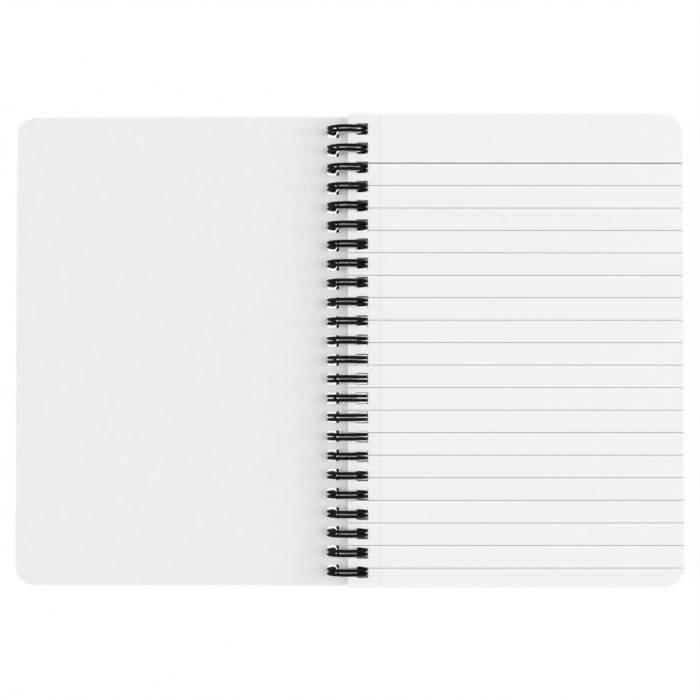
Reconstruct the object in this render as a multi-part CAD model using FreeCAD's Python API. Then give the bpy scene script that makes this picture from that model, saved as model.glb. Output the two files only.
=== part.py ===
import FreeCAD, Part
import math
import os

# An A5 ruled notebook bound with a twin-loop wire, lying open at its first page.
# Lengths are in millimetres and angles in degrees.
# The origin is on the table under the middle of the binding.
# +X points to the ruled page, +Y to the head of the page and +Z up.

os.makedirs("parts", exist_ok=True)
Vector = FreeCAD.Vector

# Driving dimensions of the sheets
sheet_width = 148.0
sheet_height = 209.0
fore_corner_radius = 8.5
spine_corner_radius = 0.8
card_thickness = 0.5
block_thickness = 9.7
fore_edge_swell = 2.2

# Driving dimensions of the punched holes
hole_size = 5.1
loop_pitch = 8.5
least_end_margin = 5.0

# Driving dimensions of the wire
wire_diameter = 1.2
pair_gap = 0.6
elbow_inside_radius = 0.4
seam_angle = 239.8
stub_length = 0.8

# Driving dimensions of the way the open notebook lies
strip_beyond_holes = 3.0
back_bend_length = 23.0

# What the trimming cut takes off each side of a sheet
trim = 2.0

# Named clearances
turning_room = 4.9
wire_gap = 0.15
slide_gap = 0.25
spine_gap = 0.21
leaf_gap = 0.2
tip_gap = 0.1
table_gap = 0.02

# How finely the round wire is faceted
wire_sides = 6
ring_chords = 16
hairpin_chords = 3
elbow_chords = 2

# The ring that each loop follows, and the wire's own section
ring_radius = (block_thickness + 2 * card_thickness + turning_room + wire_diameter) / 2
pair_half = (wire_diameter + pair_gap) / 2
elbow_radius = wire_diameter / 2 + elbow_inside_radius
section_area = math.pi * wire_diameter ** 2 / 4
side_angle = math.pi / wire_sides
half_flats = math.sqrt(section_area / (wire_sides * math.tan(side_angle)))

# Both wires of a loop start at the root and end at the hairpin, just short of the seam
root_angle = math.radians(seam_angle - 360) + elbow_radius / ring_radius
tip_angle = math.radians(seam_angle) - (wire_diameter + tip_gap + pair_half) / ring_radius
chord_angle = (tip_angle - root_angle) / ring_chords
path_radius = ring_radius * 2 / (1 + math.cos(chord_angle / 2))
ring_inside = path_radius * math.cos(chord_angle / 2) - half_flats
ring_outside = path_radius + half_flats / math.cos(chord_angle / 2)
axis_height = ring_outside + table_gap

# The sheets' places across the spine, as distances from the middle of the binding
spine_edge = spine_gap / 2
fore_edge = spine_edge + sheet_width
hole_outer = ring_outside + wire_gap
hole_inner = hole_outer - hole_size
strip_end = hole_outer + strip_beyond_holes
flat_start = strip_end + back_bend_length

# The sheets' heights above the table
cover_lift = axis_height - math.sqrt((ring_inside - slide_gap) ** 2 - hole_inner ** 2)
block_lift = cover_lift + card_thickness + leaf_gap
block_top = block_lift + block_thickness
fore_edge_top = card_thickness + leaf_gap + block_thickness + fore_edge_swell

# The loops' places along the spine
loop_count = 1 + int((sheet_height - 2 * least_end_margin) / loop_pitch)
loop_places = [(k - (loop_count - 1) / 2) * loop_pitch for k in range(loop_count)]


def heading_after(start, heading, end):
    """The heading at the end of the arc that leaves start at this heading."""
    chord = math.atan2(end[1] - start[1], end[0] - start[0])
    return 2 * chord - heading


def arc_or_line(start, heading, end):
    """The edge that leaves start at this heading and ends at end."""
    across = end[0] - start[0]
    up = end[1] - start[1]
    bulge = math.tan((math.atan2(up, across) - heading) / 2)
    a = Vector(start[0], 0, start[1])
    b = Vector(end[0], 0, end[1])
    if abs(bulge) < 1e-9:
        return Part.makeLine(a, b)
    middle = (a + b) / 2 + Vector(up, 0, -across) * (bulge / 2)
    return Part.Arc(a, middle, b).toShape()


def course(points):
    """The points of a side view with the heading at each, level at the spine and untrimmed."""
    headings = [0.0]
    for start, end in zip(points, points[1:]):
        headings.append(heading_after(start, headings[-1], end))
    stations = [(x, z, heading) for (x, z), heading in zip(points, headings)]
    first_x, first_z, level = stations[0]
    last_x, last_z, last = stations[-1]
    beyond = (last_x + trim * math.cos(last), last_z + trim * math.sin(last), last)
    return [(first_x - trim, first_z, level)] + stations[1:] + [beyond]


def raised(stations, height):
    """The same course, moved out square to itself by a thickness."""
    moved = []
    for x, z, heading in stations:
        moved.append((x - height * math.sin(heading), z + height * math.cos(heading), heading))
    return moved


def side_edges(stations):
    """The lines and arcs of a course."""
    return [arc_or_line(a[:2], a[2], b[:2]) for a, b in zip(stations, stations[1:])]


def side_face(lower, upper):
    """The side view between two courses, closed at the spine and at the fore edge."""
    edges = side_edges(lower) + side_edges(upper)
    for a, b in ((lower[0], upper[0]), (lower[-1], upper[-1])):
        edges.append(Part.makeLine(Vector(a[0], 0, a[1]), Vector(b[0], 0, b[1])))
    return Part.Face(Part.Wire(Part.sortEdges(edges)[0]))


def front_cover_course():
    """The underside of the front cover, which droops from the wire to the table."""
    return course([(spine_edge, cover_lift), (strip_end, cover_lift), (fore_edge, 0)])


def back_cover_course():
    """The underside of the back cover, flat on the table and raised at the wire."""
    bend_middle = ((strip_end + flat_start) / 2, cover_lift / 2)
    points = [(spine_edge, cover_lift), (strip_end, cover_lift), bend_middle]
    return course(points + [(flat_start, 0), (fore_edge, 0)])


def block_top_course():
    """The top leaf, level at the wire and sloping a little down to the fore edge."""
    slope = math.atan2(fore_edge_top - block_top, fore_edge - strip_end)
    beyond = (fore_edge + trim, fore_edge_top + trim * math.tan(slope), slope)
    return [(spine_edge - trim, block_top, 0.0), (strip_end, block_top, slope), beyond]


def rounded_outline():
    """The plan of a sheet: large corners at the fore edge, small ones at the spine."""
    half = sheet_height / 2
    edges = []
    corners = [
        (spine_edge, -half, spine_corner_radius, 180),
        (fore_edge, -half, fore_corner_radius, 270),
        (fore_edge, half, fore_corner_radius, 0),
        (spine_edge, half, spine_corner_radius, 90),
    ]
    ends = []
    for x, y, radius, start in corners:
        centre_x = x + radius if x == spine_edge else x - radius
        centre_y = y + radius if y < 0 else y - radius
        centre = Vector(centre_x, centre_y, 0)
        arc = Part.makeCircle(radius, centre, Vector(0, 0, 1), start, start + 90)
        edges.append(arc)
        ends.append((arc.firstVertex().Point, arc.lastVertex().Point))
    for (_, leaving), (arriving, _) in zip(ends, ends[1:] + ends[:1]):
        edges.append(Part.makeLine(leaving, arriving))
    return Part.Wire(Part.sortEdges(edges)[0])


def hole_outline(y):
    """One punched square hole."""
    half = hole_size / 2
    corners = [
        Vector(hole_inner, y - half, 0),
        Vector(hole_outer, y - half, 0),
        Vector(hole_outer, y + half, 0),
        Vector(hole_inner, y + half, 0),
    ]
    return Part.makePolygon(corners + corners[:1])


def punched_sheet(lower, upper):
    """A sheet or a block of sheets between two courses, punched and trimmed to round corners."""
    face = side_face(lower, upper)
    face.translate(Vector(0, -sheet_height / 2 - trim, 0))
    body = face.extrude(Vector(0, sheet_height + 2 * trim, 0))
    outlines = [rounded_outline()] + [hole_outline(y) for y in loop_places]
    plan = Part.makeFace(outlines, "Part::FaceMakerBullseye")
    top = 2 * axis_height
    plan.translate(Vector(0, 0, -top))
    return body.common(plan.extrude(Vector(0, 0, 3 * top))).Solids[0]


def front_cover():
    """The front cover, thrown over to the left of the binding."""
    lower = front_cover_course()
    cover = punched_sheet(lower, raised(lower, card_thickness))
    return cover.mirror(Vector(0, 0, 0), Vector(1, 0, 0))


def back_cover():
    """The back cover, under the pages."""
    lower = back_cover_course()
    return punched_sheet(lower, raised(lower, card_thickness))


def page_block():
    """All the ruled leaves together."""
    lower = raised(back_cover_course(), card_thickness + leaf_gap)
    return punched_sheet(lower, block_top_course())


def near_ring(angle, y, along):
    """A point of the wire's middle line, off the ring by a distance along its tangent."""
    x = path_radius * math.cos(angle) - along * math.sin(angle)
    z = path_radius * math.sin(angle) + along * math.cos(angle)
    return Vector(x, y, axis_height + z)


def ring_points(y, start, end):
    """The wire round the ring, without the points at its two ends."""
    step = (end - start) / ring_chords
    return [near_ring(start + k * step, y, 0) for k in range(1, ring_chords)]


def bend_points(angle, y, radius, start, end, chords):
    """A small bend that lies flat against the ring, about a point on it."""
    points = []
    for k in range(chords + 1):
        turn = math.radians(start + (end - start) * k / chords)
        points.append(near_ring(angle, y + radius * math.sin(turn), radius * math.cos(turn)))
    return points


def loop_points(y):
    """One loop: in from the seam, round, back through the hairpin and out to the seam."""
    first = y - pair_half
    second = y + pair_half
    points = bend_points(root_angle, first - elbow_radius, elbow_radius, 180, 90, elbow_chords)
    points += ring_points(first, root_angle, tip_angle)
    points += bend_points(tip_angle, y, pair_half, -90, 90, hairpin_chords)
    points += ring_points(second, tip_angle, root_angle)
    points += bend_points(root_angle, second + elbow_radius, elbow_radius, 270, 180, elbow_chords)
    return points


def wire_section(centre):
    """The wire's section where it is cut off, with a flat towards the ring's middle."""
    outward = Vector(math.cos(root_angle), 0, math.sin(root_angle))
    sideways = Vector(0, 1, 0).cross(outward)
    corner_radius = half_flats / math.cos(side_angle)
    corners = []
    for k in range(wire_sides + 1):
        turn = (2 * k + 1) * side_angle
        corner = outward * math.cos(turn) + sideways * math.sin(turn)
        corners.append(centre + corner * corner_radius)
    return Part.makePolygon(corners)


def twin_loop_wire():
    """The whole comb, bent from one length of wire and cut off beyond its end loops."""
    points = []
    for y in loop_places:
        points += loop_points(y)
    points.insert(0, points[0] - Vector(0, stub_length, 0))
    points.append(points[-1] + Vector(0, stub_length, 0))
    path = Part.makePolygon(points)
    mitred = 1
    return path.makePipeShell([wire_section(points[0])], True, False, mitred)


pieces = {
    "front_cover": front_cover(),
    "page_block": page_block(),
    "back_cover": back_cover(),
    "twin_loop_wire": twin_loop_wire(),
}
for name, shape in pieces.items():
    shape.exportStep("parts/" + name + ".step")
    print(name, shape.ShapeType, shape.isValid(), len(shape.Faces), round(shape.Volume, 2), shape.BoundBox)
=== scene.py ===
"""A ruled notebook bound with a twin-loop wire, lying open at its first page.

The piece at the left is the front cover, thrown over. At the right lie the pages, and
under them the back cover. The wire comb stands along the Y axis.
"""

import math
import random

import bpy
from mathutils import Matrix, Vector
from mathutils.geometry import delaunay_2d_cdt


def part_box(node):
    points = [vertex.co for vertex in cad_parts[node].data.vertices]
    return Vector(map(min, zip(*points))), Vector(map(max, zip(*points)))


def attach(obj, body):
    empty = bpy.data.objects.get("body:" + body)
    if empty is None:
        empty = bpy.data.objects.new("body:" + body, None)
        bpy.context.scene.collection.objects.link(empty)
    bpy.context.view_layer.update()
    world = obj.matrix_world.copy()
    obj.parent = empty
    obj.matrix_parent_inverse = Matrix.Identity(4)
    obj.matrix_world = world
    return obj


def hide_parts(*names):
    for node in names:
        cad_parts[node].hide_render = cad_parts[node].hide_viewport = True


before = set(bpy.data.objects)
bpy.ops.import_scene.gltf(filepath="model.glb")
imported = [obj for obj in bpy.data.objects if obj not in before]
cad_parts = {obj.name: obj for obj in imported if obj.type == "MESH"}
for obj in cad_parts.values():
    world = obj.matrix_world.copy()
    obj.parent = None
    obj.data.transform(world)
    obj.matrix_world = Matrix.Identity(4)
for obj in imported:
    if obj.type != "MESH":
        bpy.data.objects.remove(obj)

bl_info = {
    "name": "Open ruled notebook",
    "version": (1, 0, 0),
    "blender": (4, 5, 0),
    "location": "View3D > Sidebar > Notebook",
    "description": "Builds an open ruled notebook that is bound with a twin-loop wire",
    "category": "Add Mesh",
}

MM = 0.001
PAGES_LOW, PAGES_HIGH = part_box("page_block")
BACK_COVER_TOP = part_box("back_cover")[1].z

# Distances from the middle of the binding
HOLE_OUTER = 9.2031 * MM
STRIP_END = HOLE_OUTER + 3 * MM
FLAT_START = STRIP_END + 23 * MM


# Settings


def length(name, description, default, **more):
    """A size that a user may change, in metres."""
    return bpy.props.FloatProperty(
        name=name, description=description, default=default, unit="LENGTH", precision=5, **more
    )


def degrees(name, description, default):
    """An angle that a user may change."""
    return bpy.props.FloatProperty(
        name=name, description=description, default=math.radians(default), subtype="ANGLE"
    )


def number(name, description, default, least=0.0):
    """A plain number that a user may change."""
    return bpy.props.FloatProperty(name=name, description=description, default=default, min=least)


def whole_number(name, description, default, least):
    """A count that a user may change."""
    return bpy.props.IntProperty(name=name, description=description, default=default, min=least)


def position(name, description, default):
    """A point that a user may move."""
    return bpy.props.FloatVectorProperty(
        name=name, description=description, default=default, subtype="TRANSLATION", unit="LENGTH"
    )


def colour(name, description, default):
    """A linear colour that a user may change."""
    return bpy.props.FloatVectorProperty(
        name=name, description=description, default=default, subtype="COLOR", size=3, min=0, max=1
    )


class NotebookSheetSettings(bpy.types.PropertyGroup):
    """Sizes that the covers and the pages share."""

    spine_edge: length("Spine edge", "From the middle of the binding to a sheet", PAGES_LOW.x)
    fore_edge: length("Fore edge", "From the middle of the binding to the far edge", PAGES_HIGH.x)
    half_height: length("Half height", "Half of a sheet's height", PAGES_HIGH.y)
    fore_corner_radius: length("Fore corner radius", "The two large corners", 8.5 * MM)
    spine_corner_radius: length("Spine corner radius", "The two small corners", 0.8 * MM)
    hole_size: length("Hole size", "Side of a punched square hole", 5.1 * MM)
    hole_corner_radius: length("Hole corner radius", "Corners of a punched hole", 0.35 * MM)
    hole_outer: length("Hole outer side", "From the middle of the binding", HOLE_OUTER)
    loop_pitch: length("Loop pitch", "From one loop of the wire to the next", 8.5 * MM)
    loop_count: whole_number("Loops", "Loops of the wire and holes in a sheet", 24, 2)
    strip_end: length("Level strip", "Where a sheet starts to bend down", STRIP_END)
    flat_start: length("Flat start", "Where the back cover reaches the table", FLAT_START)


class NotebookCoverSettings(bpy.types.PropertyGroup):
    """The two covers."""

    card_thickness: length("Card thickness", "Thickness of a cover", 0.5 * MM)
    edge_radius: length("Edge radius", "Rounding of the cut edges", 0.09 * MM)
    front_reach: length("Front reach", "How far it reaches on under the pages", 0.29 * MM)
    front_hole_shift: length("Front hole shift", "Of its holes, towards the binding", 0.35 * MM)
    back_setback: length("Back setback", "From the sheets' spine edge to its own", 0.2 * MM)
    card_colour: colour("Card colour", "White uncoated card", (0.868, 0.868, 0.868))


class NotebookPageSettings(bpy.types.PropertyGroup):
    """The ruled leaves."""

    block_base: length("Underside", "Height of the last leaf above the table", PAGES_LOW.z)
    block_top: length("Top at the spine", "Height of the first leaf at the wire", PAGES_HIGH.z)
    fore_edge_top: length("Top at the fore edge", "Height of the first leaf there", 12.6 * MM)
    setback: length("Setback", "From the sheets' spine edge to the leaves'", 0.09 * MM)
    leaf_count: whole_number("Leaves", "Leaves between the covers", 96, 2)
    leaf_unevenness: length("Unevenness", "How far leaves lie in from the edge", 0.11 * MM)
    leaf_groove: length("Groove", "Depth of the gap between two leaves", 0.05 * MM)
    hole_leaf_count: whole_number("Leaves in a hole", "Leaf edges in a hole's walls", 24, 2)
    hole_unevenness: length("Hole unevenness", "How far leaves lie out of a hole", 0.055 * MM)
    hole_groove: length("Hole groove", "Depth of the same gap in a hole", 0.02 * MM)
    hole_taper: length("Hole taper", "How far the lower leaves reach into a hole", 0.3 * MM)
    header_drop: length("Header drop", "From the head of the page to its header rule", 21.87 * MM)
    header_thickness: length("Header thickness", "Thickness of the header rule", 0.5 * MM)
    first_rule_drop: length("First rule", "From the header rule to the first rule", 9.96 * MM)
    rule_pitch: length("Rule pitch", "From one rule to the next", 9.92 * MM)
    rule_thickness: length("Rule thickness", "Thickness of a rule", 0.25 * MM)
    rule_count: whole_number("Rules", "Rules under the header rule", 18, 1)
    tear_line: length("Tear line", "From a page's spine edge to its perforation", 14.3 * MM)
    slit_pitch: length("Slit pitch", "From one perforation slit to the next", 1.0 * MM)
    slit_length: length("Slit length", "Length of a perforation slit", 0.55 * MM)
    slit_width: length("Slit width", "Width of a perforation slit", 0.12 * MM)
    slit_depth: length("Slit depth", "How deep a slit shows", 0.3 * MM)
    # The slit colour is painted shade: the paper deep in each slit is darkened for the shade that
    # falls there.
    slit_shade_colour: colour("Slit shade colour", "Paper darkened to paint the shade in the perforation", (0.3, 0.3, 0.3))
    paper_colour: colour("Paper colour", "Smooth white paper", (0.89, 0.89, 0.887))
    ink_colour: colour("Ink colour", "Grey of the rules", (0.17, 0.174, 0.182))


class NotebookWireSettings(bpy.types.PropertyGroup):
    """The twin-loop wire."""

    wire_diameter: length("Wire diameter", "With its coating", 1.42 * MM)
    pair_gap: length("Pair gap", "Between the two wires of a loop", 0.42 * MM)
    elbow_inside_radius: length("Elbow radius", "Inside radius of the root bends", 0.4 * MM)
    seam_angle: degrees("Seam angle", "Where the loops close, counter-clockwise from +X", 239.4)
    tip_gap: length("Tip gap", "Between a hairpin and the bar that it closes on", 0.1 * MM)
    table_gap: length("Table gap", "Between the rings and the table", 0.02 * MM)
    ring_radius: length("Ring radius", "Of the wire's middle line round a loop", 8.29 * MM)
    stub_length: length("Stub length", "Of the bar beyond the end loops", 0.8 * MM)
    coating_colour: colour("Coating colour", "Satin black coating", (0.003, 0.003, 0.0032))


class NotebookStageSettings(bpy.types.PropertyGroup):
    """Camera, light and floor."""

    camera_place: position(
        "Camera", "Almost straight above the notebook", (1.216 * MM, -21.92 * MM, 850.63 * MM)
    )
    camera_pitch: degrees("Pitch", "How far the camera leans towards the head of the page", 1.498)
    lens: number("Lens", "Focal length in millimetres", 97.7, 1)
    fill_level: number("Fill", "Strength of the light from the horizon all round", 0.45)
    band_level: number("Band", "Strength overhead of the light band across the binding", 5.25)
    band_lean: number("Band lean", "Strength that the band gains towards the left", 1.2)
    band_width: number("Band width", "Sine of the angle that the band reaches", 0.22, 0.1)
    band_foot: number("Band foot", "Height where the band is at full strength", 0.95, 0.1)
    lamp_place: position("Right lamp", "Place of the lamp at the right", (1.3, 0.1, 0.75))
    lamp_size: length("Lamp size", "Side of the lamp", 0.25)
    lamp_level: number("Lamp level", "Share of white that the lamp adds", 0.04)
    floor_size: length("Floor size", "Side of the floor", 6.0)
    floor_colour: colour("Floor colour", "Pale floor", (0.9, 0.9, 0.9))
    floor_white: number("Floor white", "Share of plain white that is seen on the floor", 0.93)


# Nodes


class Signal:
    """One output of a node, which takes part in arithmetic."""

    def __init__(self, nodes, socket):
        self.nodes = nodes
        self.socket = socket

    def math(self, operation, first, second):
        return self.nodes.add("ShaderNodeMath", {"operation": operation}, {0: first, 1: second})

    def __add__(self, other):
        return self.math("ADD", self, other)

    def __radd__(self, other):
        return self.math("ADD", other, self)

    def __sub__(self, other):
        return self.math("SUBTRACT", self, other)

    def __rsub__(self, other):
        return self.math("SUBTRACT", other, self)

    def __mul__(self, other):
        return self.math("MULTIPLY", self, other)

    def __rmul__(self, other):
        return self.math("MULTIPLY", other, self)


class Nodes:
    """A node tree, with one way to add a node to it."""

    def __init__(self, tree):
        self.tree = tree

    def connect(self, socket, value):
        """Link a signal to a socket, or write a plain value on it."""
        if isinstance(value, Signal):
            self.tree.links.new(value.socket, socket)
        else:
            socket.default_value = value

    def add(self, kind, settings=None, inputs=None, output=0):
        """Add a node, with its settings first and then its inputs, and return one output."""
        node = self.tree.nodes.new(kind)
        for name, value in (settings or {}).items():
            if name == "stops":
                for element, (place, shade) in zip(node.color_ramp.elements, value):
                    element.position = place
                    element.color = shade
            else:
                setattr(node, name, value)
        for name, value in (inputs or {}).items():
            self.connect(node.inputs[name], value)
        return Signal(self, node.outputs[output])


class Finish(Nodes):
    """A material with a Principled shader."""

    def __init__(self, name, **constants):
        self.material = bpy.data.materials.new(name)
        self.material.use_nodes = True
        super().__init__(self.material.node_tree)
        self.shader = self.tree.nodes["Principled BSDF"]
        for socket, value in constants.items():
            self.shader.inputs[socket.replace("_", " ")].default_value = value
        self.place = self.add("ShaderNodeTexCoord", output="Object")

    def noise(self, size, detail=2.0, roughness=0.5, stretch=(1, 1, 1)):
        """Noise between 0 and 1 whose patches are about this many metres wide."""
        scale = [share / size for share in stretch]
        place = self.add("ShaderNodeMapping", {}, {"Vector": self.place, "Scale": scale})
        return self.add(
            "ShaderNodeTexNoise",
            {},
            {"Vector": place, "Scale": 1.0, "Detail": detail, "Roughness": roughness},
        )

    def tinted(self, base, shade, mask):
        """A colour that goes from base to shade as the mask goes from 0 to 1."""
        return self.add(
            "ShaderNodeMix",
            {"data_type": "RGBA"},
            {0: mask, 6: (*base, 1), 7: (*shade, 1)},
            output=2,
        )

    def mottled(self, shade, spread, mask):
        """A colour that strays to both sides of a shade by this share."""
        return self.tinted(scaled(shade, 1 - spread), scaled(shade, 1 + spread), mask)

    def paint(self, **signals):
        """Feed the shader's sockets."""
        for socket, value in signals.items():
            self.connect(self.shader.inputs[socket.replace("_", " ")], value)

    def bump(self, height, strength, distance):
        """A bumped normal."""
        return self.add(
            "ShaderNodeBump",
            {},
            {"Strength": strength, "Distance": distance, "Height": height},
        )


def scaled(shade, factor):
    """A colour made lighter or darker."""
    return tuple(min(1.0, channel * factor) for channel in shade)


def card_finish(settings):
    """White uncoated card, faintly mottled, with a fine tooth."""
    finish = Finish("white card", Specular_IOR_Level=0.3)
    clouds = finish.noise(5 * MM, detail=3.0, roughness=0.6)
    fibres = finish.noise(0.5 * MM, detail=2.0)
    tooth = finish.noise(0.16 * MM, detail=1.0)
    mask = clouds * 0.6 + fibres * 0.4
    shade = finish.mottled(settings.card_colour, 0.06, mask)
    normal = finish.bump(fibres * 0.6 + tooth * 0.4, 0.35, 0.03 * MM)
    finish.paint(Base_Color=shade, Roughness=0.72 + 0.16 * fibres, Normal=normal)
    return finish.material


def paper_finish(name, paper_colour):
    """Smooth writing paper, a little cloudy where its fibres gather."""
    finish = Finish(name, Specular_IOR_Level=0.3)
    clouds = finish.noise(3.5 * MM, detail=3.0, roughness=0.6)
    fibres = finish.noise(0.6 * MM, detail=3.0, stretch=(1, 0.6, 1))
    mask = clouds * 0.5 + fibres * 0.5
    shade = finish.mottled(paper_colour, 0.04, mask)
    normal = finish.bump(fibres, 0.2, 0.015 * MM)
    finish.paint(Base_Color=shade, Roughness=0.6 + 0.12 * fibres, Normal=normal)
    return finish.material


def ink_finish(settings):
    """Grey printing ink, thin enough for the paper to show through in places."""
    finish = Finish("grey rule ink", Specular_IOR_Level=0.3)
    grain = finish.noise(0.12 * MM, detail=2.0)
    clouds = finish.noise(6 * MM, detail=1.0)
    mask = grain * 0.7 + clouds * 0.3
    thick, thin = scaled(settings.ink_colour, 0.85), scaled(settings.ink_colour, 1.2)
    shade = finish.tinted(thick, thin, mask)
    finish.paint(Base_Color=shade, Roughness=0.55 + 0.1 * grain)
    return finish.material


def coating_finish(settings):
    """Satin black coating on the wire, with a slight orange peel."""
    finish = Finish("black wire coating", Specular_IOR_Level=0.08)
    peel = finish.noise(1.6 * MM, detail=1.0)
    grain = finish.noise(0.15 * MM, detail=2.0)
    shade = finish.tinted(settings.coating_colour, scaled(settings.coating_colour, 1.8), grain)
    normal = finish.bump(peel, 0.15, 0.01 * MM)
    finish.paint(Base_Color=shade, Roughness=0.5 + 0.08 * grain, Normal=normal)
    return finish.material


# Side views: heights over the distance from the binding


def arc_drop(run, drop, along):
    """How far an arc that starts level has fallen, if it falls by drop over run."""
    radius = (run * run + drop * drop) / (2 * drop)
    return radius - math.sqrt(radius * radius - along * along)


def raised(height, thickness):
    """The same side view, moved out square to itself."""
    step = 0.01 * MM

    def moved(x):
        slope = (height(x + step) - height(x - step)) / (2 * step)
        return height(x) + thickness * math.sqrt(1 + slope * slope)

    return moved


def cover_lift():
    """Height of a cover's underside at the wire."""
    return BACK_COVER_TOP - bpy.context.scene.notebook_covers.card_thickness


def front_cover_underside(x):
    """The front cover droops from the wire to the table."""
    sheets = bpy.context.scene.notebook_sheets
    if x <= sheets.strip_end:
        return cover_lift()
    run = sheets.fore_edge - sheets.strip_end
    return cover_lift() - arc_drop(run, cover_lift(), min(x - sheets.strip_end, run))


def back_cover_underside(x):
    """The back cover lies flat on the table and bends up to the wire."""
    sheets = bpy.context.scene.notebook_sheets
    half_run = (sheets.flat_start - sheets.strip_end) / 2
    half_drop = cover_lift() / 2
    if x <= sheets.strip_end:
        return cover_lift()
    if x <= sheets.strip_end + half_run:
        return cover_lift() - arc_drop(half_run, half_drop, x - sheets.strip_end)
    if x < sheets.flat_start:
        return arc_drop(half_run, half_drop, sheets.flat_start - x)
    return 0.0


def block_top(x):
    """The first leaf, level at the wire and sloping a little down to the fore edge."""
    sheets, pages = bpy.context.scene.notebook_sheets, bpy.context.scene.notebook_pages
    share = max(0.0, (x - sheets.strip_end) / (sheets.fore_edge - sheets.strip_end))
    return pages.block_top + (pages.fore_edge_top - pages.block_top) * min(share, 1.0)


# Plans: outlines seen from above


def rounded_box(low, high, radii, chords, grow=0.0):
    """A box's corners, counter-clockwise, with one radius at its left and one at its right."""
    left, right = (radius + (grow if radius else 0) for radius in radii)
    points = []
    corners = [
        (high[0] + grow, low[1] - grow, right, -90),
        (high[0] + grow, high[1] + grow, right, 0),
        (low[0] - grow, high[1] + grow, left, 90),
        (low[0] - grow, low[1] - grow, left, 180),
    ]
    for x, y, radius, start in corners:
        centre_x = x - radius if x > 0.5 * (low[0] + high[0]) else x + radius
        centre_y = y - radius if y > 0.5 * (low[1] + high[1]) else y + radius
        for k in range(chords + 1 if radius else 1):
            turn = math.radians(start + 90 * k / chords)
            points.append((centre_x + radius * math.cos(turn), centre_y + radius * math.sin(turn)))
    return points


def inside(polygon, x, y):
    """Whether a point lies in a polygon."""
    found = False
    for (ax, ay), (bx, by) in zip(polygon, polygon[1:] + polygon[:1]):
        if (ay > y) != (by > y) and x < ax + (bx - ax) * (y - ay) / (by - ay):
            found = not found
    return found


def places(count, pitch):
    """Places with this pitch along the spine, about its middle."""
    return [(k - (count - 1) / 2) * pitch for k in range(count)]


def spaced(first, last, step):
    """Evenly spaced places from first to last, both among them."""
    count = max(1, round(abs(last - first) / step))
    return [first + (last - first) * k / count for k in range(count + 1)]


class Plan:
    """A punched sheet seen from above, cut into triangles along given lines."""

    SHEET, SLIT = 0, 1
    CORNER_CHORDS, HOLE_CHORDS = 12, 4
    TOLERANCE = 1e-8

    def __init__(self, rounding, columns, rows, slits=(), setback=0.0, hole_shift=0.0):
        sheets = bpy.context.scene.notebook_sheets
        low = (sheets.spine_edge + setback, -sheets.half_height)
        high = (sheets.fore_edge, sheets.half_height)
        radii = (sheets.spine_corner_radius, sheets.fore_corner_radius)
        self.outline = rounded_box(low, high, radii, self.CORNER_CHORDS, -rounding)
        hole_outer = sheets.hole_outer - hole_shift
        hole_inner = hole_outer - sheets.hole_size
        half = sheets.hole_size / 2
        corners = (sheets.hole_corner_radius, sheets.hole_corner_radius)
        self.holes = []
        for y in places(sheets.loop_count, sheets.loop_pitch):
            sides = (hole_inner, y - half), (hole_outer, y + half)
            self.holes.append(rounded_box(*sides, corners, self.HOLE_CHORDS, rounding))
        self.slits = list(slits)
        self.points = []
        self.edges = []
        for polygon in [self.outline] + self.holes + self.slits:
            self.constrain(polygon + polygon[:1])
        beyond = 1 * MM
        for x in columns:
            self.constrain([(x, low[1] - beyond), (x, high[1] + beyond)])
        for y in rows:
            self.constrain([(low[0] - beyond, y), (high[0] + beyond, y)])
        self.triangulate()

    def constrain(self, path):
        """Add a path that triangles may not cross."""
        first = len(self.points)
        self.points += [Vector(point) for point in path]
        self.edges += [(first + k, first + k + 1) for k in range(len(path) - 1)]

    def kind(self, x, y):
        """What lies at a point: sheet, slit, or nothing."""
        if not inside(self.outline, x, y):
            return None
        for polygons, found in ((self.holes, None), (self.slits, self.SLIT)):
            if not polygons:
                continue
            nearest = min(polygons, key=lambda polygon: abs(polygon[0][1] + polygon[2][1] - 2 * y))
            for polygon in self.near(polygons, nearest):
                if inside(polygon, x, y):
                    return found
        return self.SHEET

    @staticmethod
    def near(polygons, nearest):
        """A polygon and its neighbours in the row."""
        index = polygons.index(nearest)
        return polygons[max(0, index - 1) : index + 2]

    def triangulate(self):
        """Cut the plan into triangles, and keep those that are paper or card."""
        cut = delaunay_2d_cdt(self.points, self.edges, [], 0, self.TOLERANCE)
        points, _, faces = cut[:3]
        self.points = [(point.x, point.y) for point in points]
        self.triangles = []
        for face in faces:
            x = sum(self.points[k][0] for k in face) / 3
            y = sum(self.points[k][1] for k in face) / 3
            kind = self.kind(x, y)
            if kind is not None:
                self.triangles.append((tuple(face), kind, x, y))

    @staticmethod
    def border(triangles):
        """The directed edges with no triangle at their other side."""
        edges = {(a, b) for face in triangles for a, b in zip(face, face[1:] + face[:1])}
        return {a: b for a, b in edges if (b, a) not in edges}


def border_loops(border):
    """Closed chains of a border's edges, with the sheet at their left."""
    left, loops = dict(border), []
    while left:
        start = min(left)
        loop, corner = [start], left.pop(start)
        while corner != start:
            loop.append(corner)
            corner = left.pop(corner)
        loops.append(loop)
    return loops


def outward(points, loop):
    """For each corner of a loop, the step that moves its two edges out by one metre."""
    steps = []
    for before, corner, after in zip(loop[-1:] + loop[:-1], loop, loop[1:] + loop[:1]):
        normals = []
        for a, b in ((before, corner), (corner, after)):
            along = Vector(points[b]) - Vector(points[a])
            normals.append(Vector((along.y, -along.x)).normalized())
        middle = normals[0] + normals[1]
        steps.append(middle * (2 / middle.length_squared))
    return steps


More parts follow.
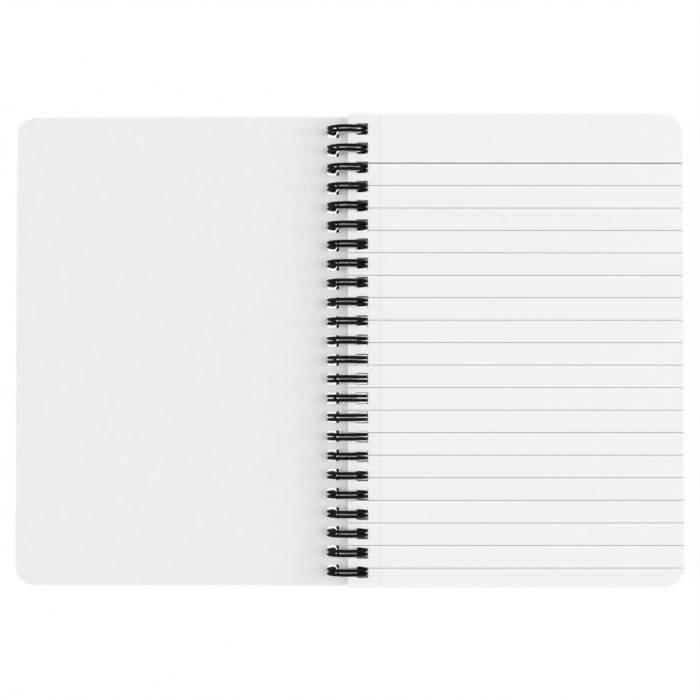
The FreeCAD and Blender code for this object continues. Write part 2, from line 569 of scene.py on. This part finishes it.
class SheetMesh:
    """A closed mesh on a plan, between a lower and an upper side view."""

    def __init__(self, plan, lower, upper):
        self.plan, self.lower, self.upper = plan, lower, upper
        self.corners, self.faces, self.finishes = [], [], []

    def add_corner(self, x, y, depth):
        """A corner at a share of the thickness, 0 at the top and 1 at the bottom."""
        top, bottom = self.upper(x), self.lower(x)
        self.corners.append((x, y, top + (bottom - top) * depth))
        return len(self.corners) - 1

    def add_face(self, face, finish=0):
        """A face with the number of its material."""
        self.faces.append(face)
        self.finishes.append(finish)

    def cap(self, triangles, depth, finish_at=lambda x, y: 0):
        """One side of the sheet. The corners that it uses are returned by their plan number."""
        used = {}
        for face, _, x, y in triangles:
            for k in face:
                if k not in used:
                    used[k] = self.add_corner(*self.plan.points[k], depth)
            turned = face if depth < 0.5 else face[::-1]
            self.add_face([used[k] for k in turned], finish_at(x, y))
        return used

    def wall(self, loop, top, bottom, rings):
        """A wall down from the top to the bottom, through rings of (growth, depth)."""
        steps = outward(self.plan.points, loop)
        above = [top[k] for k in loop]
        for growth, depth in rings:
            ring = []
            for place, (k, step) in enumerate(zip(loop, steps)):
                grown = growth(place) if callable(growth) else growth
                x = self.plan.points[k][0] + step.x * grown
                y = self.plan.points[k][1] + step.y * grown
                ring.append(self.add_corner(x, y, depth))
            self.join(above, ring)
            above = ring
        self.join(above, [bottom[k] for k in loop])

    def join(self, above, below):
        """Close the band between two rings."""
        for k in range(len(above)):
            after = (k + 1) % len(above)
            self.add_face([above[k], below[k], below[after], above[after]])

    def mesh(self, name, mirrored=False):
        """The finished mesh."""
        corners, faces = self.corners, self.faces
        if mirrored:
            corners = [(-x, y, z) for x, y, z in corners]
            faces = [face[::-1] for face in faces]
        mesh = bpy.data.meshes.new(name)
        mesh.from_pydata(corners, [], faces)
        mesh.polygons.foreach_set("material_index", self.finishes)
        mesh.polygons.foreach_set("use_smooth", [True] * len(faces))
        mesh.set_sharp_from_angle(angle=math.radians(30))
        mesh.validate()
        return mesh


# Pieces

# The materials of the page block, in their order on its mesh. The third paints the shade on the
# floors of the perforation slits.
PAPER, INK, SLIT_SHADE = 0, 1, 2


def place_piece(name, mesh, materials, body, node):
    """Show a finished mesh in place of a CAD node."""
    for material in materials:
        mesh.materials.append(material)
    piece = bpy.data.objects.new(name, mesh)
    bpy.context.scene.collection.objects.link(piece)
    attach(piece, body)
    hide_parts(node)
    return piece


def cut_columns(bend_step, flat_step):
    """Where a sheet is cut across, closer together in its bend."""
    sheets = bpy.context.scene.notebook_sheets
    in_bend = spaced(sheets.strip_end, sheets.flat_start, bend_step)
    return in_bend + spaced(sheets.flat_start, sheets.fore_edge, flat_step)[1:-1]


def cover_mesh(name, underside, mirrored, setback, hole_shift):
    """A cover with finely rounded edges."""
    sheets, covers = bpy.context.scene.notebook_sheets, bpy.context.scene.notebook_covers
    radius, thickness = covers.edge_radius, covers.card_thickness
    between = places(sheets.loop_count - 1, sheets.loop_pitch)
    columns = cut_columns(1.6 * MM, 5.6 * MM)
    plan = Plan(radius, columns, between, setback=setback, hole_shift=hole_shift)
    sheet = SheetMesh(plan, underside, raised(underside, thickness))
    triangles = plan.triangles
    top = sheet.cap(triangles, 0)
    bottom = sheet.cap(triangles, 1)
    rings = []
    for turn in (30, 60, 90):
        angle = math.radians(turn)
        rings.append((radius * math.sin(angle), radius * (1 - math.cos(angle)) / thickness))
    rings += [(growth, 1 - depth) for growth, depth in reversed(rings)]
    for loop in border_loops(plan.border([face for face, *_ in triangles])):
        sheet.wall(loop, top, bottom, rings)
    return sheet.mesh(name, mirrored)


class NOTEBOOK_OT_covers(bpy.types.Operator):
    """Add the front cover and the back cover"""

    bl_idname = "notebook.covers"
    bl_label = "Covers"

    def execute(self, context):
        covers = context.scene.notebook_covers
        card = card_finish(covers)
        reach, shift = covers.front_reach, covers.front_hole_shift
        mesh = cover_mesh("notebook_front_cover", front_cover_underside, True, -reach, shift)
        place_piece("notebook_front_cover", mesh, [card], "front", "front_cover")
        setback = covers.back_setback
        mesh = cover_mesh("notebook_back_cover", back_cover_underside, False, setback, 0)
        place_piece("notebook_back_cover", mesh, [card], "base", "back_cover")
        return {"FINISHED"}


def rule_bands():
    """The printed rules as (lower side, upper side) along Y."""
    sheets, pages = bpy.context.scene.notebook_sheets, bpy.context.scene.notebook_pages
    header = sheets.half_height - pages.header_drop
    bands = [(header - pages.header_thickness / 2, header + pages.header_thickness / 2)]
    for k in range(pages.rule_count):
        rule = header - pages.first_rule_drop - k * pages.rule_pitch
        bands.append((rule - pages.rule_thickness / 2, rule + pages.rule_thickness / 2))
    return bands


def tear_slits():
    """The perforation's slits."""
    sheets, pages = bpy.context.scene.notebook_sheets, bpy.context.scene.notebook_pages
    x = sheets.spine_edge + pages.tear_line
    half_width, half_length = pages.slit_width / 2, pages.slit_length / 2
    count = int(2 * sheets.half_height / pages.slit_pitch) - 1
    slits = []
    for y in places(count, pages.slit_pitch):
        sides = (x - half_width, y - half_length), (x + half_width, y + half_length)
        slits.append(rounded_box(*sides, (0, 0), 1))
    return slits


def leaf_rings(loop, points, seed, leaves, unevenness, groove, taper):
    """A wall's rings, three to a leaf, with every leaf a little out of line with the last.

    The taper takes the wall the other way, and is complete before the lowest leaves.
    """
    dice = random.Random(seed)
    carried, fresh = 0.7, 0.3
    drifting, loose = 0.6, 0.4
    taper_start, taper_run = 0.45, 0.35
    waviness, groove_share = 0.25, 0.12
    rings = []
    drift = 0.0
    for leaf in range(leaves):
        drift = carried * drift + dice.uniform(0, 1) * fresh * (leaf > 0)
        inset = unevenness * (drifting * drift + loose * dice.uniform(0, 1) * (leaf > 0))
        inset -= taper * min(max((leaf / leaves - taper_start) / taper_run, 0), 1)
        phase, waves = dice.uniform(0, 2 * math.pi), dice.uniform(8, 30)

        def growth(place, inset=inset, phase=phase, waves=waves):
            y = points[loop[place]][1]
            return -inset * (1 + waviness * math.sin(phase + waves * y))

        if leaf:
            rings.append((-inset - groove, leaf / leaves))
        rings.append((growth, (leaf + groove_share) / leaves))
        rings.append((growth, (leaf + 1 - groove_share) / leaves))
    return rings


def page_mesh(name):
    """The whole block of leaves, with its top leaf printed and perforated."""
    sheets, pages = bpy.context.scene.notebook_sheets, bpy.context.scene.notebook_pages
    bands = rule_bands()
    rows = [side for band in bands for side in band]
    columns = cut_columns(2.1 * MM, 14 * MM)
    plan = Plan(0.0, columns, rows, tear_slits(), setback=pages.setback)
    under = raised(back_cover_underside, pages.block_base)
    sheet = SheetMesh(plan, under, block_top)

    def printed(x, y):
        return INK if any(low < y < high for low, high in bands) else PAPER

    paper = [row for row in plan.triangles if row[1] == Plan.SHEET]
    slits = [row for row in plan.triangles if row[1] == Plan.SLIT]
    thickness = pages.block_top - cover_lift()
    top = sheet.cap(paper, 0, printed)
    # The slit floors take a dark paper that paints the shade in the slits.
    floor = sheet.cap(slits, pages.slit_depth / thickness, lambda x, y: SLIT_SHADE)
    bottom = sheet.cap(plan.triangles, 1)
    whole = plan.border([face for face, *_ in plan.triangles])
    for a, b in plan.border([face for face, *_ in paper]).items():
        if a not in whole:
            sheet.add_face([top[a], floor[a], floor[b], top[b]])
    edge = (pages.leaf_count, pages.leaf_unevenness, pages.leaf_groove, 0)
    hole = (pages.hole_leaf_count, pages.hole_unevenness, pages.hole_groove, pages.hole_taper)
    for seed, loop in enumerate(border_loops(whole)):
        is_edge = max(plan.points[k][0] for k in loop) > sheets.strip_end
        rings = leaf_rings(loop, plan.points, seed, *(edge if is_edge else hole))
        sheet.wall(loop, top, bottom, rings)
    return sheet.mesh(name)


class NOTEBOOK_OT_pages(bpy.types.Operator):
    """Add the block of ruled leaves"""

    bl_idname = "notebook.pages"
    bl_label = "Pages"

    def execute(self, context):
        settings = context.scene.notebook_pages
        paper = paper_finish("writing paper", settings.paper_colour)
        # A darker paper that paints the shade deep in the perforation slits.
        painted_slit_shade = paper_finish("painted shade in a slit", settings.slit_shade_colour)
        finishes = [paper, ink_finish(settings), painted_slit_shade]
        mesh = page_mesh("notebook_pages")
        place_piece("notebook_pages", mesh, finishes, "pages", "page_block")
        return {"FINISHED"}


def loop_path():
    """One loop of the wire, from the middle of one bar to the middle of the next."""
    elbow_chords, hairpin_chords, ring_chords = 7, 12, 56
    sheets, wire = bpy.context.scene.notebook_sheets, bpy.context.scene.notebook_wire
    ring_radius = wire.ring_radius
    ring_height = wire.table_gap + wire.wire_diameter / 2 + ring_radius
    elbow_radius = wire.wire_diameter / 2 + wire.elbow_inside_radius
    pair_half = (wire.wire_diameter + wire.pair_gap) / 2
    root = wire.seam_angle - 2 * math.pi + elbow_radius / ring_radius
    tip = wire.seam_angle - (wire.wire_diameter + wire.tip_gap + pair_half) / ring_radius

    def bend(angle, y, radius, start, end, chords):
        turns = [math.radians(start + (end - start) * k / chords) for k in range(chords + 1)]
        return [
            (angle + radius * math.cos(turn) / ring_radius, y + radius * math.sin(turn))
            for turn in turns
        ]

    def ring(start, end, y):
        step = (end - start) / ring_chords
        return [(start + k * step, y) for k in range(1, ring_chords)]

    seam = root - elbow_radius / ring_radius
    way = [(seam, -sheets.loop_pitch / 2)]
    way += bend(root, -pair_half - elbow_radius, elbow_radius, 180, 90, elbow_chords)
    way += ring(root, tip, -pair_half)
    way += bend(tip, 0, pair_half, -90, 90, hairpin_chords)
    way += ring(tip, root, pair_half)
    way += bend(root, pair_half + elbow_radius, elbow_radius, 270, 180, elbow_chords)
    way += [(seam, sheets.loop_pitch / 2)]
    return [
        (ring_radius * math.cos(angle), y, ring_height + ring_radius * math.sin(angle))
        for angle, y in way
    ]


def comb_tree():
    """Geometry nodes that repeat one loop along the spine and give it a round section."""
    wire_sides = 14
    joining_distance = 0.001 * MM
    tree = bpy.data.node_groups.new("Twin-loop comb", "GeometryNodeTree")
    sockets = [
        ("Loop path", "NodeSocketGeometry", None),
        ("Loops", "NodeSocketInt", 24),
        ("Pitch", "NodeSocketFloat", 8.5 * MM),
        ("Wire radius", "NodeSocketFloat", 0.71 * MM),
        ("End trim", "NodeSocketFloat", 1.0 * MM),
        ("Coating", "NodeSocketMaterial", None),
    ]
    for name, kind, default in sockets:
        made = tree.interface.new_socket(name, in_out="INPUT", socket_type=kind)
        if default is not None:
            made.default_value = default
    tree.interface.new_socket("Comb", in_out="OUTPUT", socket_type="NodeSocketGeometry")
    nodes = Nodes(tree)
    inputs = tree.nodes.new("NodeGroupInput")

    def given(name):
        return Signal(nodes, inputs.outputs[name])

    pitch, count = given("Pitch"), given("Loops")
    first = (count - 1) * pitch * -0.5
    start = nodes.add("ShaderNodeCombineXYZ", {}, {"Y": first})
    step = nodes.add("ShaderNodeCombineXYZ", {}, {"Y": pitch})
    row = nodes.add(
        "GeometryNodeMeshLine", {}, {"Count": count, "Start Location": start, "Offset": step}
    )
    loops = nodes.add(
        "GeometryNodeInstanceOnPoints", {}, {"Points": row, "Instance": given("Loop path")}
    )
    loops = nodes.add("GeometryNodeRealizeInstances", {}, {"Geometry": loops})
    chain = nodes.add(
        "GeometryNodeMergeByDistance", {}, {"Geometry": loops, "Distance": joining_distance}
    )
    curve = nodes.add("GeometryNodeMeshToCurve", {}, {"Mesh": chain})
    ends = nodes.add("GeometryNodeCurveEndpointSelection", {}, {"Start Size": 1, "End Size": 1})
    place = nodes.add("GeometryNodeInputPosition")
    y = nodes.add("ShaderNodeSeparateXYZ", {}, {"Vector": place}, output="Y")
    side = nodes.add("ShaderNodeMath", {"operation": "SIGN"}, {0: y})
    shift = nodes.add("ShaderNodeCombineXYZ", {}, {"Y": side * given("End trim") * -1.0})
    curve = nodes.add(
        "GeometryNodeSetPosition", {}, {"Geometry": curve, "Selection": ends, "Offset": shift}
    )
    section = nodes.add(
        "GeometryNodeCurvePrimitiveCircle",
        {},
        {"Resolution": wire_sides, "Radius": given("Wire radius")},
    )
    comb = nodes.add(
        "GeometryNodeCurveToMesh",
        {},
        {"Curve": curve, "Profile Curve": section, "Fill Caps": True},
    )
    comb = nodes.add("GeometryNodeRealizeInstances", {}, {"Geometry": comb})
    comb = nodes.add(
        "GeometryNodeSetMaterial", {}, {"Geometry": comb, "Material": given("Coating")}
    )
    output = tree.nodes.new("NodeGroupOutput")
    nodes.connect(output.inputs["Comb"], comb)
    return tree


def evaluated_mesh(source, name):
    """The mesh that an object's modifiers give."""
    shown = source.evaluated_get(bpy.context.evaluated_depsgraph_get())
    mesh = bpy.data.meshes.new_from_object(shown)
    mesh.name = name
    return mesh


def comb_mesh(name, coating):
    """The whole wire comb as one plain mesh."""
    sheets, wire = bpy.context.scene.notebook_sheets, bpy.context.scene.notebook_wire
    points = loop_path()
    path = bpy.data.meshes.new("loop path")
    path.from_pydata(points, [(k, k + 1) for k in range(len(points) - 1)], [])
    source = bpy.data.objects.new("loop path", path)
    bpy.context.scene.collection.objects.link(source)
    modifier = source.modifiers.new("Comb", "NODES")
    modifier.node_group = comb_tree()
    wire_radius = wire.wire_diameter / 2
    pair_half = wire_radius + wire.pair_gap / 2
    bar_half = sheets.loop_pitch / 2 - pair_half - wire_radius - wire.elbow_inside_radius
    values = {
        "Loops": sheets.loop_count,
        "Pitch": sheets.loop_pitch,
        "Wire radius": wire_radius,
        "End trim": bar_half - wire.stub_length,
        "Coating": coating,
    }
    for socket in modifier.node_group.interface.items_tree:
        if socket.in_out == "INPUT" and socket.name in values:
            modifier[socket.identifier] = values[socket.name]
    mesh = evaluated_mesh(source, name)
    bpy.data.objects.remove(source)
    mesh.polygons.foreach_set("use_smooth", [True] * len(mesh.polygons))
    mesh.set_sharp_from_angle(angle=math.radians(50))
    return mesh


class NOTEBOOK_OT_wire(bpy.types.Operator):
    """Add the twin-loop wire"""

    bl_idname = "notebook.wire"
    bl_label = "Wire"

    def execute(self, context):
        coating = coating_finish(context.scene.notebook_wire)
        mesh = comb_mesh("notebook_wire", coating)
        if not mesh.polygons:
            raise RuntimeError("the wire's node tree gave no faces")
        place_piece("notebook_wire", mesh, [], "base", "twin_loop_wire")
        return {"FINISHED"}


def seen_directly(nodes):
    """One for the rays of the camera, of reflections and of clear things, else nothing."""
    rays = nodes.tree.nodes.new("ShaderNodeLightPath")
    camera, glossy, clear = (
        Signal(nodes, rays.outputs[name])
        for name in ("Is Camera Ray", "Is Glossy Ray", "Is Transmission Ray")
    )
    return camera + glossy + clear


def floor_material(settings):
    """A pale floor that the camera and reflections see as almost white."""
    material = bpy.data.materials.new("pale floor")
    material.use_nodes = True
    nodes = Nodes(material.node_tree)
    nodes.tree.nodes.clear()
    seen = seen_directly(nodes) * settings.floor_white
    diffuse = nodes.add("ShaderNodeBsdfDiffuse", {}, {"Color": (*settings.floor_colour, 1)})
    white = nodes.add("ShaderNodeEmission", {}, {"Color": (1, 1, 1, 1), "Strength": 1.0})
    mixed = nodes.add("ShaderNodeMixShader", {}, {0: seen, 1: diffuse, 2: white})
    output = nodes.tree.nodes.new("ShaderNodeOutputMaterial")
    nodes.connect(output.inputs["Surface"], mixed)
    return material


def light_world(settings):
    """White where it is seen. It lights the notebook with a band overhead and a low fill.

    The band lies square to the binding, so the rings throw no shadow between them.
    """
    world = bpy.data.worlds.new("light band")
    world.use_nodes = True
    nodes = Nodes(world.node_tree)
    nodes.tree.nodes.clear()
    heading = nodes.add("ShaderNodeTexCoord", output="Generated")
    across, along, height = (
        nodes.add("ShaderNodeSeparateXYZ", {}, {"Vector": heading}, output=axis) for axis in "XYZ"
    )
    off_band = along * along * (1 / settings.band_width**2)
    band = nodes.add("ShaderNodeClamp", {}, {"Value": 1 - off_band})
    above = nodes.add("ShaderNodeClamp", {}, {"Value": height})
    foot = nodes.add("ShaderNodeClamp", {}, {"Value": height * (1 / settings.band_foot)})
    fill = (1 - above) * settings.fill_level
    strength = fill + band * foot * (settings.band_level - across * settings.band_lean)
    light = nodes.add("ShaderNodeBackground", {}, {"Color": (1, 1, 1, 1), "Strength": strength})
    white = nodes.add("ShaderNodeBackground", {}, {"Color": (1, 1, 1, 1), "Strength": 1.0})
    mixed = nodes.add("ShaderNodeMixShader", {}, {0: seen_directly(nodes), 1: light, 2: white})
    output = nodes.tree.nodes.new("ShaderNodeOutputWorld")
    nodes.connect(output.inputs["Surface"], mixed)
    bpy.context.scene.world = world


def add_lamp(name, place, size, level):
    """A soft square lamp aimed at the notebook, which adds this share of white there."""
    lamp = bpy.data.lights.new(name, "AREA")
    lamp.shape = "SQUARE"
    lamp.size = size
    facing = place.z / place.length
    lamp.energy = level * math.pi**2 * place.length_squared / facing
    holder = bpy.data.objects.new(name, lamp)
    holder.location = place
    holder.rotation_euler = (-place).to_track_quat("-Z", "Y").to_euler()
    bpy.context.scene.collection.objects.link(holder)


def add_camera(settings):
    """The camera at the photograph's viewing angle."""
    camera = bpy.data.cameras.new("camera")
    camera.lens = settings.lens
    camera.clip_start = 10 * MM
    camera.clip_end = 100.0
    holder = bpy.data.objects.new("camera", camera)
    holder.location = settings.camera_place
    holder.rotation_euler = (settings.camera_pitch, 0, 0)
    bpy.context.scene.collection.objects.link(holder)
    bpy.context.scene.camera = holder


class NOTEBOOK_OT_stage(bpy.types.Operator):
    """Add the floor, the light and the camera"""

    bl_idname = "notebook.stage"
    bl_label = "Stage"

    def execute(self, context):
        settings = context.scene.notebook_stage
        half = settings.floor_size / 2
        corners = [(-half, -half, 0), (half, -half, 0), (half, half, 0), (-half, half, 0)]
        mesh = bpy.data.meshes.new("floor")
        mesh.from_pydata(corners, [], [(0, 1, 2, 3)])
        mesh.materials.append(floor_material(settings))
        floor = bpy.data.objects.new("floor", mesh)
        context.scene.collection.objects.link(floor)
        light_world(settings)
        lamp_place = Vector(settings.lamp_place)
        add_lamp("right lamp", lamp_place, settings.lamp_size, settings.lamp_level)
        add_camera(settings)
        context.scene.view_settings.view_transform = "Standard"
        return {"FINISHED"}


class NOTEBOOK_PT_sidebar(bpy.types.Panel):
    """The notebook's settings and the buttons that build it"""

    bl_idname = "NOTEBOOK_PT_sidebar"
    bl_label = "Notebook"
    bl_space_type = "VIEW_3D"
    bl_region_type = "UI"
    bl_category = "Notebook"

    def draw(self, context):
        for name, (group, operator) in GROUPS.items():
            box = self.layout.box()
            settings = getattr(context.scene, name)
            for field in group.__annotations__:
                box.prop(settings, field)
            if operator:
                box.operator(operator.bl_idname)


GROUPS = {
    "notebook_sheets": (NotebookSheetSettings, None),
    "notebook_covers": (NotebookCoverSettings, NOTEBOOK_OT_covers),
    "notebook_pages": (NotebookPageSettings, NOTEBOOK_OT_pages),
    "notebook_wire": (NotebookWireSettings, NOTEBOOK_OT_wire),
    "notebook_stage": (NotebookStageSettings, NOTEBOOK_OT_stage),
}


def register():
    for name, (group, operator) in GROUPS.items():
        bpy.utils.register_class(group)
        setattr(bpy.types.Scene, name, bpy.props.PointerProperty(type=group))
        if operator:
            bpy.utils.register_class(operator)
    bpy.utils.register_class(NOTEBOOK_PT_sidebar)


def unregister():
    bpy.utils.unregister_class(NOTEBOOK_PT_sidebar)
    for name, (group, operator) in reversed(GROUPS.items()):
        if operator:
            bpy.utils.unregister_class(operator)
        delattr(bpy.types.Scene, name)
        bpy.utils.unregister_class(group)


def main():
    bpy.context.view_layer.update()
    register()
    bpy.ops.notebook.covers()
    bpy.ops.notebook.pages()
    bpy.ops.notebook.wire()
    bpy.ops.notebook.stage()


if __name__ == "__main__":
    main()
